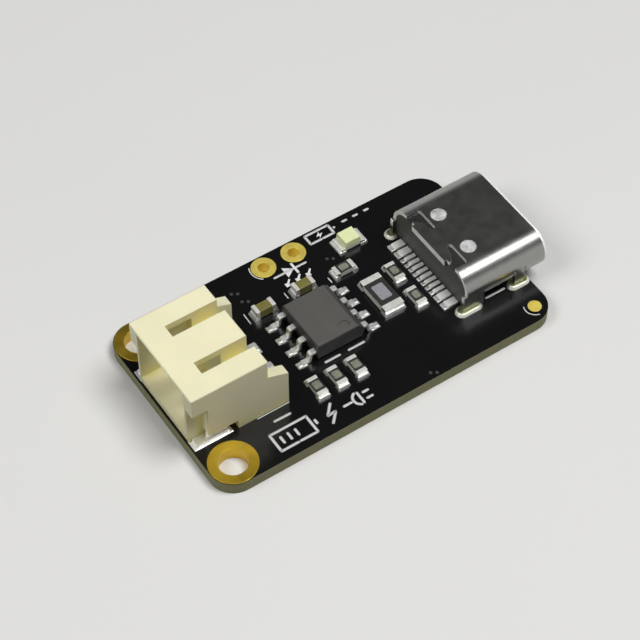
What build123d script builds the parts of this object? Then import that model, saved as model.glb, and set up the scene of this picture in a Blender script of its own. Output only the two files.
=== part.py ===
from build123d import *
import os

os.makedirs("parts", exist_ok=True)

# A small charger board for one lithium cell. The battery header is at the -X end,
# the USB-C receptacle hangs over the +X end, and the charger chip lies between them.
# The origin is the centre of the board's underside, +Z is up, and sizes are in millimetres.

# Circuit board
board_length = 27.6
board_thickness = 1.0
copper = 0.05
hole_inset = 1.8
mounting_bore = 2.1
mounting_ring = 3.5
mounting_wall = 0.1
pin_bore = 0.85
pin_ring = 1.85
pin_wall = 0.08
pin_pitch = 2.54
pin_inset = 1.05
fiducial_diameter = 1.0
fiducial_inset = 1.2

# Solder
solder_film = 0.04
solder_margin = 0.25
solder_slope = 35
chip_solder_slope = 18
tail_solder_slope = 8
solder_climb = 0.6

# USB-C receptacle
usb_overhang = 1.45
usb_width = 8.94
usb_height = 3.16
usb_sheet = 0.3
usb_lift = 0.05
usb_length = 6.95
usb_fit = 0.02
usb_rear_opening = 1.5
usb_rim_bevel = 0.08
stake_front_setback = 2.35
stake_front_width = 0.8
stake_rear_setback = 6.65
stake_rear_width = 1.1
stake_relief = 0.15
stake_slot_play = 0.3
stake_end = 0.12
stake_pad_margin = 0.25
window_length = 1.08
window_inner = 1.0
window_outer = 2.75
window_side = 2.9
window_corner = 0.15
tab_neck = 0.88
tab_head = 2.25
tab_hook = 0.2
tab_stations = (0.27, 0.52, 0.78)
lip_width = 3.9
lip_drop = 0.5
lip_thickness = 0.22
spot_setback = 5.0
spot_spread = 3.54
spot_diameter = 1.2
spot_depth = 0.05

# USB-C tongue and its contacts
tongue_setback = 0.9
tongue_width = 6.69
tongue_thickness = 0.7
tongue_nose = 0.2
base_length = 1.1
collar_length = 0.6
collar_thickness = 1.3
mid_plate_thickness = 0.15
mid_plate_setback = 0.5
latch_notch_length = 1.1
latch_notch_depth = 0.35
latch_notch_setback = 1.6
contact_thickness = 0.12
contact_width = 0.26
contact_proud = 0.02
power_contact_setback = 0.35
signal_contact_setback = 0.8
tail_length = 0.85
tail_width = 0.3
wide_tail_width = 0.6
tail_thickness = 0.15
tail_pad_length = 1.2
tail_pad_side = 0.03
upper_riser_inset = 0.3
riser_pitch = 0.3
power_places = ((2.75, 3.2), (1.25, 2.4))
upper_signal_places = ((0.75, 1.25), (0.25, 0.25))
lower_signal_places = ((0.75, 1.75), (0.25, 0.75))

# Battery header
header_setback = 0.15
header_ring_gap = 0.4
header_width = 7.9
header_depth = 5.93
header_height = 5.5
header_edge = 0.12
header_top_bevel = 0.06
front_foot_bevel = 0.15
cavity_width = 5.8
cavity_height = 4.3
cavity_floor = 0.65
cavity_depth = 3.9
lip_bevel_height = 0.35
lip_bevel_depth = 0.7
top_slot_width = 1.05
top_slot_spread = 3.66
top_slot_setback = 1.85
top_slot_depth = 1.8
ear_length = 1.55
ear_thickness = 0.8
ear_height = 3.8
ear_drop = 0.65
notch_length = 1.2
notch_height = 3.74
notch_width = 0.85
relief_length = 3.45
relief_height = 0.85
contact_pitch = 2.0
contact_pin = 0.5
contact_setback = 1.75
contact_height = 2.55
contact_drop_gap = 0.5
contact_foot_length = 1.35
contact_bend = 0.3
contact_tip_bevel = 0.1
contact_pad_length = 2.3
contact_pad_width = 1.0
hold_down_sheet = 0.26
hold_down_setback = 0.25
hold_down_length = 2.55
hold_down_foot_width = 0.75
hold_down_foot_inset = 0.08
blade_height = 2.9
hold_down_pad_margin = 0.25

# Charger chip
chip_x = -0.78
chip_y = 0.0
chip_width = 3.9
chip_length = 4.6
chip_top = 1.5
chip_standoff = 0.1
chip_part_line = 0.85
chip_draft = 10
chip_edge = 0.06
bevel_width = 0.5
bevel_depth = 0.4
dot_diameter = 0.75
dot_depth = 0.06
dot_inset = 0.72
lead_pitch = 1.27
lead_count = 4
lead_span = 6.0
lead_width = 0.42
lead_thickness = 0.2
lead_embed = 0.3
lead_shoulder = 0.4
lead_foot = 0.55
lead_bend = 0.16
lead_pad_margin = 0.42
lead_pad_side = 0.09

# Chip capacitors, small chip resistors and the large resistor at the charger's input
small_length = 1.6
small_width = 0.8
capacitor_height = 0.8
resistor_height = 0.45
end_cap_length = 0.3
end_cap_wrap = 0.03
coat_thickness = 0.04
large_length = 3.2
large_width = 1.6
large_height = 0.55
large_cap_length = 0.5
pad_overhang = 0.22

# Indicator light
led_length = 2.0
led_width = 1.25
led_base_height = 0.3
led_lens_length = 1.35
led_lens_height = 0.5
led_terminal_length = 0.42
led_terminal_sheet = 0.04
led_lens_draft = 6

# Places of the chip parts, from the board's edges and the parts beside them
input_capacitor_setback = 2.67
battery_capacitor_setback = 0.73
capacitor_gap = 1.12
battery_capacitor_gap = 1.27
led_setback = 3.2
led_inset = 2.45
led_resistor_setback = 5.0
led_resistor_inset = 4.47
input_resistor_setback = 4.1
side_resistor_setback = 2.2
side_resistor_pitch = 2.65
side_resistor_shift = -0.175
row_resistor_inset = 3.7
row_resistor_setback = 3.27
row_resistor_pitch = 1.6
row_resistor_count = 3

# Derived places of the board: the screw holes clear the battery header, and the long edges clear the holes
mounting_y = header_width / 2 + header_ring_gap + mounting_ring / 2
half_width = mounting_y + hole_inset
board_width = 2 * half_width
half_length = board_length / 2
mounting_x = -half_length + hole_inset
mounting_places = ((mounting_x, -mounting_y), (mounting_x, mounting_y))
pin_y = half_width - pin_inset
pin_places = ((-pin_pitch / 2, pin_y), (pin_pitch / 2, pin_y))
fiducial_place = (half_length - fiducial_inset, -half_width + fiducial_inset)
seat = board_thickness + solder_film

# Derived places of the receptacle
mouth_x = half_length + usb_overhang
usb_rear_x = mouth_x - usb_length
usb_mid_z = board_thickness + usb_lift + usb_height / 2
usb_top_z = usb_mid_z + usb_height / 2
usb_side_y = usb_width / 2 - usb_sheet / 2
stake_rows = (
    (mouth_x - stake_front_setback, stake_front_width),
    (mouth_x - stake_rear_setback, stake_rear_width),
)
mouth_plane = Plane(origin=(mouth_x, 0, usb_mid_z), x_dir=(0, 1, 0), z_dir=(1, 0, 0))
usb_rear_plane = mouth_plane.offset(-usb_length)


def stake_slots(margin):
    """Outline of the four slots for the shell's stakes, grown by a margin"""
    with BuildSketch() as slots:
        for x, width in stake_rows:
            with Locations((x, usb_side_y), (x, -usb_side_y)):
                SlotOverall(
                    width + 2 * stake_slot_play + 2 * margin,
                    usb_sheet + stake_slot_play + 2 * margin,
                )
    return slots.sketch


stake_slot_outline = stake_slots(0)
stake_pad_outline = stake_slots(stake_pad_margin)

# Circuit board with its bores, pin holes, stake slots and shallow seats for the rings underneath
with BuildPart() as circuit_board:
    with BuildSketch():
        RectangleRounded(board_length, board_width, hole_inset)
        with Locations(*mounting_places):
            Circle(mounting_bore / 2 + mounting_wall, mode=Mode.SUBTRACT)
        with Locations(*pin_places):
            Circle(pin_bore / 2 + pin_wall, mode=Mode.SUBTRACT)
        add(stake_slot_outline, mode=Mode.SUBTRACT)
    extrude(amount=board_thickness)
    with BuildSketch():
        with Locations(*mounting_places):
            Circle(mounting_ring / 2)
        with Locations(*pin_places):
            Circle(pin_ring / 2)
    extrude(amount=copper, mode=Mode.SUBTRACT)
circuit_board.part.label = "circuit_board"
export_step(circuit_board.part, "parts/circuit_board.step")


def plated_holes(places, bore, ring, wall):
    """Flanged copper barrels, one for each plated hole: proud of the top and flush with the underside"""
    with BuildPart() as plating:
        for height in (0, board_thickness):
            with BuildSketch(Plane.XY.offset(height)):
                with Locations(*places):
                    Circle(ring / 2)
                    Circle(bore / 2, mode=Mode.SUBTRACT)
            extrude(amount=copper)
        with BuildSketch():
            with Locations(*places):
                Circle(bore / 2 + wall)
                Circle(bore / 2, mode=Mode.SUBTRACT)
        extrude(amount=board_thickness)
    return plating.part


mounting_plating = plated_holes(mounting_places, mounting_bore, mounting_ring, mounting_wall)
mounting_plating.label = "mounting_hole_plating"
export_step(mounting_plating, "parts/mounting_hole_plating.step")

pin_plating = plated_holes(pin_places, pin_bore, pin_ring, pin_wall)
pin_plating.label = "led_pin_hole_plating"
export_step(pin_plating, "parts/led_pin_hole_plating.step")

with BuildPart() as fiducial_pad:
    with BuildSketch(Plane.XY.offset(board_thickness)):
        with Locations(fiducial_place):
            Circle(fiducial_diameter / 2)
    extrude(amount=copper)
fiducial_pad.part.label = "fiducial_pad"
export_step(fiducial_pad.part, "parts/fiducial_pad.step")

# Receptacle shell: one folded sheet with a hooked tab between two rear windows, and four stakes
window_front_x = usb_rear_x + window_length
tab_widths = (tab_head - tab_hook, (tab_head + tab_neck) / 2, tab_neck)
tab_curve = [(usb_rear_x, tab_head)]
tab_curve += [(usb_rear_x + share * window_length, y) for share, y in zip(tab_stations, tab_widths)]
tab_curve += [(window_front_x, window_inner)]
with BuildPart() as usb_shell:
    with BuildSketch(mouth_plane):
        SlotOverall(usb_width, usb_height)
        SlotOverall(usb_width - 2 * usb_sheet, usb_height - 2 * usb_sheet, mode=Mode.SUBTRACT)
    extrude(amount=-usb_length)
    chamfer(usb_shell.faces().sort_by(Axis.X)[-1].outer_wire().edges(), usb_rim_bevel)
    with BuildSketch(Plane.XY.offset(usb_mid_z)):
        with Locations((usb_rear_x, 0)):
            Rectangle(2 * usb_rear_opening, usb_width)
        with Locations((stake_rows[0][0], 0)):
            Rectangle(stake_front_width + 2 * stake_relief, usb_width)
            Rectangle(stake_front_width + 2 * stake_relief, usb_width - usb_height, mode=Mode.SUBTRACT)
    extrude(amount=-usb_height, mode=Mode.SUBTRACT)
    with BuildSketch(Plane.XY.offset(usb_mid_z)):
        with Locations((usb_rear_x + usb_rear_opening / 2, usb_side_y)):
            Rectangle(usb_rear_opening, usb_sheet)
        with Locations((usb_rear_x + usb_rear_opening / 2, -usb_side_y)):
            Rectangle(usb_rear_opening, usb_sheet)
    extrude(amount=board_thickness + usb_lift - usb_mid_z)
    with BuildSketch(Plane.XY.offset(usb_mid_z)):
        for stake_x, stake_width in stake_rows:
            with Locations((stake_x, usb_side_y), (stake_x, -usb_side_y)):
                Rectangle(stake_width, usb_sheet)
    extrude(amount=stake_end - usb_mid_z)
    with BuildSketch(Plane.XY.offset(usb_top_z)):
        with BuildLine():
            Spline(*tab_curve)
            Polyline(
                tab_curve[-1],
                (window_front_x, window_outer),
                (window_front_x - window_corner, window_side),
                (usb_rear_x, window_side),
                tab_curve[0],
            )
        make_face()
        mirror(about=Plane.XZ)
    extrude(amount=-usb_sheet, mode=Mode.SUBTRACT)
    with BuildSketch(usb_rear_plane):
        with Locations((0, usb_height / 2 - lip_drop / 2)):
            Rectangle(lip_width, lip_drop)
    extrude(amount=-lip_thickness)
    fillet(usb_shell.edges().filter_by(Axis.Y).group_by(Axis.X)[0].sort_by(Axis.Z)[-1], lip_thickness / 2)
    with BuildSketch(Plane.XY.offset(usb_top_z)):
        with Locations((mouth_x - spot_setback, spot_spread / 2), (mouth_x - spot_setback, -spot_spread / 2)):
            Circle(spot_diameter / 2)
    extrude(amount=-spot_depth, mode=Mode.SUBTRACT)
usb_shell.part.label = "usb_shell"
export_step(usb_shell.part, "parts/usb_shell.step")

# Tongue and contact levels
tip_x = mouth_x - tongue_setback
root_x = usb_rear_x + base_length
collar_x = root_x + collar_length
upper_z = usb_mid_z + tongue_thickness / 2 + contact_proud - contact_thickness
lower_z = usb_mid_z - tongue_thickness / 2 - contact_proud
upper_riser_x = usb_rear_x + upper_riser_inset
lower_riser_x = upper_riser_x + riser_pitch
bend_x = lower_riser_x + contact_width
tail_tip_x = usb_rear_x - tail_length


def usb_contact(front_x, level, riser_x, places, tail):
    """One contact: a blade along the tongue, an upright in the base and a tail on the board"""
    blade_y, tail_y = places
    with BuildPart() as contact:
        with BuildSketch(Plane.XY.offset(level)):
            with BuildLine():
                Polyline(
                    (front_x, blade_y),
                    (collar_x, blade_y),
                    (bend_x, tail_y),
                    (riser_x, tail_y),
                )
            trace(line_width=contact_width)
        extrude(amount=contact_thickness)
        with BuildSketch(Plane.XY.offset(seat)):
            with Locations((riser_x, tail_y)):
                Rectangle(tail_thickness, contact_width)
        extrude(amount=level + contact_thickness - seat)
        with BuildSketch(Plane.XY.offset(seat)):
            with Locations(((riser_x + tail_thickness / 2 + tail_tip_x) / 2, tail_y)):
                Rectangle(riser_x + tail_thickness / 2 - tail_tip_x, tail)
        extrude(amount=tail_thickness)
    return contact.part


power_front_x = tip_x - power_contact_setback
signal_front_x = tip_x - signal_contact_setback
power_blades = [
    usb_contact(power_front_x, level, upper_riser_x, places, wide_tail_width)
    for level in (upper_z, lower_z)
    for places in power_places
]
upper_blades = [
    usb_contact(signal_front_x, upper_z, upper_riser_x, places, tail_width) for places in upper_signal_places
]
lower_blades = [
    usb_contact(signal_front_x, lower_z, lower_riser_x, places, tail_width) for places in lower_signal_places
]

with BuildPart() as usb_power_contacts:
    add(power_blades)
    mirror(about=Plane.XZ)
usb_power_contacts.part.label = "usb_power_contacts"
export_step(usb_power_contacts.part, "parts/usb_power_contacts.step")

with BuildPart() as usb_upper_contacts:
    add(upper_blades)
    mirror(about=Plane.XZ)
usb_upper_contacts.part.label = "usb_upper_contacts"
export_step(usb_upper_contacts.part, "parts/usb_upper_contacts.step")

with BuildPart() as usb_lower_contacts:
    add(lower_blades)
    mirror(about=Plane.XZ)
usb_lower_contacts.part.label = "usb_lower_contacts"
export_step(usb_lower_contacts.part, "parts/usb_lower_contacts.step")

# Steel plate in the middle of the tongue, with a notch on each side for the plug's latches
with BuildPart() as usb_mid_plate:
    with BuildSketch(Plane.XY.offset(usb_mid_z - mid_plate_thickness / 2)):
        with Locations(((root_x + tip_x - mid_plate_setback) / 2, 0)):
            Rectangle(tip_x - mid_plate_setback - root_x, tongue_width)
        with Locations(
            (tip_x - latch_notch_setback, tongue_width / 2),
            (tip_x - latch_notch_setback, -tongue_width / 2),
        ):
            Rectangle(latch_notch_length, 2 * latch_notch_depth, mode=Mode.SUBTRACT)
    extrude(amount=mid_plate_thickness)
usb_mid_plate.part.label = "usb_mid_plate"
export_step(usb_mid_plate.part, "parts/usb_mid_plate.step")

# Moulded insulator: plug in the shell's rear, foot on the board, collar and tongue
insulator_width = usb_width - 2 * usb_sheet - 2 * usb_fit
insulator_height = usb_height - 2 * usb_sheet - 2 * usb_fit
with BuildPart() as usb_insulator:
    with BuildSketch(usb_rear_plane):
        SlotOverall(insulator_width, insulator_height)
    extrude(amount=base_length)
    with BuildSketch(Plane.XY.offset(board_thickness)):
        with Locations((usb_rear_x + base_length / 2, 0)):
            Rectangle(base_length, insulator_width)
    extrude(amount=usb_mid_z - board_thickness)
    with BuildSketch(Plane(origin=(root_x, 0, usb_mid_z), x_dir=(0, 1, 0), z_dir=(1, 0, 0))):
        Rectangle(tongue_width, collar_thickness)
    extrude(amount=collar_length)
    with BuildSketch(Plane.XY.offset(usb_mid_z - tongue_thickness / 2)):
        with Locations(((root_x + tip_x) / 2, 0)):
            RectangleRounded(tip_x - root_x, tongue_width, tongue_nose)
    extrude(amount=tongue_thickness)
    with BuildSketch(Plane.XY.offset(usb_mid_z - tongue_thickness / 2)):
        with Locations(
            (tip_x - latch_notch_setback, tongue_width / 2),
            (tip_x - latch_notch_setback, -tongue_width / 2),
        ):
            Rectangle(latch_notch_length, 2 * latch_notch_depth)
    extrude(amount=tongue_thickness, mode=Mode.SUBTRACT)
    add(usb_mid_plate.part, mode=Mode.SUBTRACT)
    add(usb_power_contacts.part, mode=Mode.SUBTRACT)
    add(usb_upper_contacts.part, mode=Mode.SUBTRACT)
    add(usb_lower_contacts.part, mode=Mode.SUBTRACT)
usb_insulator.part.label = "usb_insulator"
export_step(usb_insulator.part, "parts/usb_insulator.step")

# Solder of the four stakes: a fill in each slot and a low collar above
with BuildPart() as usb_stake_solder:
    with BuildSketch():
        add(stake_slot_outline)
    extrude(amount=board_thickness)
    with BuildSketch(Plane.XY.offset(board_thickness)):
        add(stake_pad_outline)
    extrude(amount=stake_pad_margin, taper=solder_slope)
    add(usb_shell.part, mode=Mode.SUBTRACT)
    add(usb_insulator.part, mode=Mode.SUBTRACT)
usb_stake_solder.part.label = "usb_stake_solder"
export_step(usb_stake_solder.part, "parts/usb_stake_solder.step")

# Solder of the twelve tails
tail_rows = [(y, wide_tail_width) for blade, y in power_places]
tail_rows += [(y, tail_width) for blade, y in upper_signal_places + lower_signal_places]
with BuildPart() as usb_tail_solder:
    with BuildSketch(Plane.XY.offset(board_thickness)):
        for tail_y, width in tail_rows:
            with Locations(
                (usb_rear_x - tail_pad_length / 2, tail_y),
                (usb_rear_x - tail_pad_length / 2, -tail_y),
            ):
                Rectangle(tail_pad_length, width + 2 * tail_pad_side)
    extrude(amount=solder_film + solder_climb * tail_thickness, taper=tail_solder_slope)
    add(usb_power_contacts.part, mode=Mode.SUBTRACT)
    add(usb_upper_contacts.part, mode=Mode.SUBTRACT)
    add(usb_lower_contacts.part, mode=Mode.SUBTRACT)
usb_tail_solder.part.label = "usb_tail_solder"
export_step(usb_tail_solder.part, "parts/usb_tail_solder.step")

# Battery header contacts: square pins that leave the rear wall and turn down to the board
header_front_x = -half_length + header_setback
header_rear_x = header_front_x + header_depth
header_plane = Plane(origin=(header_front_x, 0, board_thickness), x_dir=(0, 1, 0), z_dir=(1, 0, 0))
foot_z = seat + contact_pin / 2
foot_end_x = header_rear_x + contact_drop_gap + contact_pin / 2 + contact_foot_length
header_sides = (("positive", 1), ("negative", -1))
battery_contacts = []
for polarity, side in header_sides:
    with BuildPart() as battery_contact:
        with BuildSketch(Plane.XZ.offset(-side * contact_pitch / 2)):
            with BuildLine():
                FilletPolyline(
                    (header_front_x + contact_setback, board_thickness + contact_height),
                    (header_rear_x + contact_drop_gap + contact_pin / 2, board_thickness + contact_height),
                    (header_rear_x + contact_drop_gap + contact_pin / 2, foot_z),
                    (foot_end_x, foot_z),
                    radius=contact_bend,
                )
            trace(line_width=contact_pin)
        extrude(amount=contact_pin / 2, both=True)
        chamfer(battery_contact.faces().sort_by(Axis.X)[0].edges(), contact_tip_bevel)
    battery_contact.part.label = f"battery_contact_{polarity}"
    export_step(battery_contact.part, f"parts/battery_contact_{polarity}.step")
    battery_contacts.append(battery_contact.part)

# Hold-down tabs: a blade pressed into each side wall and a foot soldered beside the mouth
blade_y = header_width / 2 - notch_width / 2
foot_y = header_width / 2 - hold_down_foot_inset - hold_down_foot_width / 2
foot_x = header_front_x + hold_down_setback + hold_down_length / 2
blade_length = hold_down_setback + hold_down_length - notch_length
blade_x = header_front_x + notch_length + blade_length / 2
hold_downs = []
for place, side in (("left", 1), ("right", -1)):
    with BuildPart() as hold_down:
        with BuildSketch(Plane.XY.offset(seat)):
            with Locations((foot_x, side * foot_y)):
                Rectangle(hold_down_length, hold_down_foot_width)
        extrude(amount=hold_down_sheet)
        with BuildSketch(Plane.XY.offset(seat)):
            with Locations((blade_x, side * blade_y)):
                Rectangle(blade_length, hold_down_sheet)
        extrude(amount=blade_height)
    hold_down.part.label = f"header_hold_down_{place}"
    export_step(hold_down.part, f"parts/header_hold_down_{place}.step")
    hold_downs.append(hold_down.part)

# Header housing: a moulded box with a plug cavity, two top slots, side notches and rear ears
with BuildPart() as battery_header_housing:
    with BuildSketch(header_plane):
        with Locations((0, header_height / 2)):
            Rectangle(header_width, header_height)
    extrude(amount=header_depth)
    chamfer(
        battery_header_housing.edges().filter_by(Axis.Y).group_by(Axis.X)[0].sort_by(Axis.Z)[0],
        front_foot_bevel,
    )
    fillet(battery_header_housing.edges().filter_by(Axis.Z), header_edge)
    chamfer(battery_header_housing.edges().group_by(Axis.Z)[-1], header_top_bevel)
    with BuildSketch(header_plane):
        with Locations((0, cavity_floor + cavity_height / 2)):
            Rectangle(cavity_width, cavity_height)
    extrude(amount=cavity_depth, mode=Mode.SUBTRACT)
    with BuildSketch(Plane.XZ):
        ceiling_z = board_thickness + cavity_floor + cavity_height
        with BuildLine():
            Polyline(
                (header_front_x, ceiling_z),
                (header_front_x, ceiling_z + lip_bevel_height),
                (header_front_x + lip_bevel_depth, ceiling_z),
                close=True,
            )
        make_face()
    extrude(amount=cavity_width / 2, both=True, mode=Mode.SUBTRACT)
    with BuildSketch(Plane.XY.offset(board_thickness + header_height)):
        slot_x = (header_front_x + top_slot_setback + header_rear_x) / 2
        with Locations((slot_x, top_slot_spread / 2), (slot_x, -top_slot_spread / 2)):
            Rectangle(header_depth - top_slot_setback, top_slot_width)
    extrude(amount=-top_slot_depth, mode=Mode.SUBTRACT)
    for side in (1, -1):
        outer_y = side * (header_width / 2 - notch_width / 2)
        with BuildSketch(Plane.XY.offset(board_thickness)):
            with Locations((header_front_x + notch_length / 2, outer_y)):
                Rectangle(notch_length, notch_width)
        extrude(amount=notch_height, mode=Mode.SUBTRACT)
        with BuildSketch(Plane.XY.offset(board_thickness)):
            with Locations((header_front_x + relief_length / 2, outer_y)):
                Rectangle(relief_length, notch_width)
        extrude(amount=relief_height, mode=Mode.SUBTRACT)
        with BuildSketch(Plane.XZ.offset(-side * (header_width / 2 - ear_thickness / 2))):
            with BuildLine():
                Polyline(
                    (header_rear_x - header_edge, board_thickness),
                    (header_rear_x + ear_length, board_thickness),
                    (header_rear_x + ear_length, board_thickness + ear_height - ear_drop),
                    (header_rear_x, board_thickness + ear_height),
                    (header_rear_x - header_edge, board_thickness + ear_height),
                    close=True,
                )
            make_face()
        extrude(amount=ear_thickness / 2, both=True)
    for contact in battery_contacts:
        add(contact, mode=Mode.SUBTRACT)
    for tab in hold_downs:
        add(tab, mode=Mode.SUBTRACT)
battery_header_housing.part.label = "battery_header_housing"
export_step(battery_header_housing.part, "parts/battery_header_housing.step")

# Solder of the header: one pad under each contact foot and one under each hold-down foot
contact_pad_x = foot_end_x + solder_margin - contact_pad_length / 2
with BuildPart() as battery_header_solder:
    with BuildSketch(Plane.XY.offset(board_thickness)):
        with Locations((contact_pad_x, contact_pitch / 2), (contact_pad_x, -contact_pitch / 2)):
            Rectangle(contact_pad_length, contact_pad_width)
    extrude(amount=contact_pin / 2, taper=solder_slope)
    with BuildSketch(Plane.XY.offset(board_thickness)):
        with Locations((foot_x, foot_y), (foot_x, -foot_y)):
            Rectangle(hold_down_length + 2 * hold_down_pad_margin, hold_down_foot_width + hold_down_pad_margin)
    extrude(amount=solder_film)
    for contact in battery_contacts:
        add(contact, mode=Mode.SUBTRACT)
    add(battery_header_housing.part, mode=Mode.SUBTRACT)
battery_header_solder.part.label = "battery_header_solder"
export_step(battery_header_solder.part, "parts/battery_header_solder.step")

# Charger chip leads: gull wings on the two long sides
part_line_z = board_thickness + chip_part_line
lead_rows = [chip_y + (i - (lead_count - 1) / 2) * lead_pitch for i in range(lead_count)]
with BuildPart() as charger_chip_leads:
    for lead_y in lead_rows:
        with BuildSketch(Plane.XZ.offset(-lead_y)):
            for side in (1, -1):
                knee_x = chip_x + side * (chip_width / 2 + lead_shoulder)
                heel_x = chip_x + side * (lead_span / 2 - lead_foot)
                with BuildLine():
                    FilletPolyline(
                        (chip_x + side * (chip_width / 2 - lead_embed), part_line_z),
                        (knee_x, part_line_z),
                        (heel_x, seat + lead_thickness / 2),
                        (chip_x + side * lead_span / 2, seat + lead_thickness / 2),
                        radius=lead_bend,
                    )
                trace(line_width=lead_thickness)
        extrude(amount=lead_width / 2, both=True)
charger_chip_leads.part.label = "charger_chip_leads"
export_step(charger_chip_leads.part, "parts/charger_chip_leads.step")

# Charger chip body: two drafted halves, a bevel along the pin-one side and a round mark
chip_top_z = board_thickness + chip_top
with BuildPart() as charger_chip_body:
    with BuildSketch(Plane.XY.offset(part_line_z)):
        with Locations((chip_x, chip_y)):
            Rectangle(chip_width, chip_length)
    extrude(amount=chip_top_z - part_line_z, taper=chip_draft)
    with BuildSketch(Plane.XY.offset(part_line_z)):
        with Locations((chip_x, chip_y)):
            Rectangle(chip_width, chip_length)
    extrude(amount=board_thickness + chip_standoff - part_line_z, taper=chip_draft)
    with BuildSketch(Plane.XZ.offset(-chip_y)):
        bevel_x = chip_x + chip_width / 2
        with BuildLine():
            Polyline(
                (bevel_x, chip_top_z - bevel_depth),
                (bevel_x, chip_top_z + bevel_depth),
                (bevel_x - 2 * bevel_width, chip_top_z + bevel_depth),
                close=True,
            )
        make_face()
    extrude(amount=chip_length / 2, both=True, mode=Mode.SUBTRACT)
    chamfer(charger_chip_body.faces().sort_by(Axis.Z)[-1].edges(), chip_edge)
    with BuildSketch(Plane.XY.offset(chip_top_z)):
        with Locations((bevel_x - bevel_width - dot_inset, chip_y - chip_length / 2 + dot_inset)):
            Circle(dot_diameter / 2)
    extrude(amount=-dot_depth, mode=Mode.SUBTRACT)
    add(charger_chip_leads.part, mode=Mode.SUBTRACT)
charger_chip_body.part.label = "charger_chip_body"
export_step(charger_chip_body.part, "parts/charger_chip_body.step")

with BuildPart() as charger_chip_solder:
    pad_inner = lead_span / 2 - lead_foot + lead_bend
    pad_outer = lead_span / 2 + lead_pad_margin
    with BuildSketch(Plane.XY.offset(board_thickness)):
        for lead_y in lead_rows:
            with Locations(
                (chip_x + (pad_inner + pad_outer) / 2, lead_y),
                (chip_x - (pad_inner + pad_outer) / 2, lead_y),
            ):
                Rectangle(pad_outer - pad_inner, lead_width + 2 * lead_pad_side)
    extrude(amount=solder_film + solder_climb * lead_thickness, taper=solder_slope)
    add(charger_chip_leads.part, mode=Mode.SUBTRACT)
charger_chip_solder.part.label = "charger_chip_solder"
export_step(charger_chip_solder.part, "parts/charger_chip_solder.step")


def chip_plane(place, turned):
    """Plane of a chip part on the board, its long side along X, or along Y if turned"""
    direction = (0, 1, 0) if turned else (1, 0, 0)
    return Plane(origin=(place[0], place[1], seat), x_dir=direction, z_dir=(0, 0, 1))


def end_caps(plane, length, width, height, cap, core):
    """Two metal end caps that wrap around a core"""
    with BuildPart() as caps:
        with BuildSketch(plane):
            with Locations((length / 2 - cap / 2, 0), (-length / 2 + cap / 2, 0)):
                Rectangle(cap, width)
        extrude(amount=height)
        add(core, mode=Mode.SUBTRACT)
    return caps.part


def chip_solder(plane, length, width, height, cap, parts):
    """Solder that climbs the two ends of a chip part"""
    with BuildPart() as joint:
        with BuildSketch(plane.offset(-solder_film)):
            with Locations((length / 2 + (pad_overhang - cap) / 2, 0), (-length / 2 - (pad_overhang - cap) / 2, 0)):
                Rectangle(cap + pad_overhang, width + pad_overhang)
        extrude(amount=solder_film + height / 2, taper=chip_solder_slope)
        for piece in parts:
            add(piece, mode=Mode.SUBTRACT)
    return joint.part


# Chip capacitors, beside the charger chip
capacitor_row_y = chip_y + chip_length / 2
input_capacitor_place = (chip_x - input_capacitor_setback, capacitor_row_y + capacitor_gap)
battery_capacitor_place = (chip_x + battery_capacitor_setback, capacitor_row_y + battery_capacitor_gap)
capacitor_joints = []
for name, place in (("input", input_capacitor_place), ("battery", battery_capacitor_place)):
    plane = chip_plane(place, False)
    with BuildPart(plane.offset(end_cap_wrap)) as capacitor_body:
        Box(
            small_length - 2 * end_cap_wrap,
            small_width - 2 * end_cap_wrap,
            capacitor_height - 2 * end_cap_wrap,
            align=(Align.CENTER, Align.CENTER, Align.MIN),
        )
    capacitor_body.part.label = f"{name}_capacitor_body"
    export_step(capacitor_body.part, f"parts/{name}_capacitor_body.step")
    caps = end_caps(plane, small_length, small_width, capacitor_height, end_cap_length, capacitor_body.part)
    caps.label = f"{name}_capacitor_ends"
    export_step(caps, f"parts/{name}_capacitor_ends.step")
    capacitor_joints.append(
        chip_solder(plane, small_length, small_width, capacitor_height, end_cap_length, [capacitor_body.part, caps])
    )

with BuildPart() as capacitor_solder:
    for joint in capacitor_joints:
        add(joint)
capacitor_solder.part.label = "capacitor_solder"
export_step(capacitor_solder.part, "parts/capacitor_solder.step")

# Chip resistors: a ceramic core, a dark coat on top and two end terminals
led_resistor_place = (usb_rear_x - led_resistor_setback, half_width - led_resistor_inset)
input_resistor_place = (usb_rear_x - input_resistor_setback, chip_y)
side_resistor_x = usb_rear_x - side_resistor_setback
row_resistor_y = -half_width + row_resistor_inset
resistors = [
    ("led_resistor", led_resistor_place, False, small_length, small_width, resistor_height, end_cap_length),
    ("input_resistor", input_resistor_place, True, large_length, large_width, large_height, large_cap_length),
]
for number, side in ((1, 0.5), (2, -0.5)):
    place = (side_resistor_x, side_resistor_shift + side * side_resistor_pitch)
    resistors.append(
        (f"side_resistor_{number}", place, True, small_length, small_width, resistor_height, end_cap_length)
    )
for number in range(row_resistor_count):
    place = (chip_x - row_resistor_setback + number * row_resistor_pitch, row_resistor_y)
    resistors.append(
        (f"row_resistor_{number + 1}", place, True, small_length, small_width, resistor_height, end_cap_length)
    )
resistor_joints = []
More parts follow.
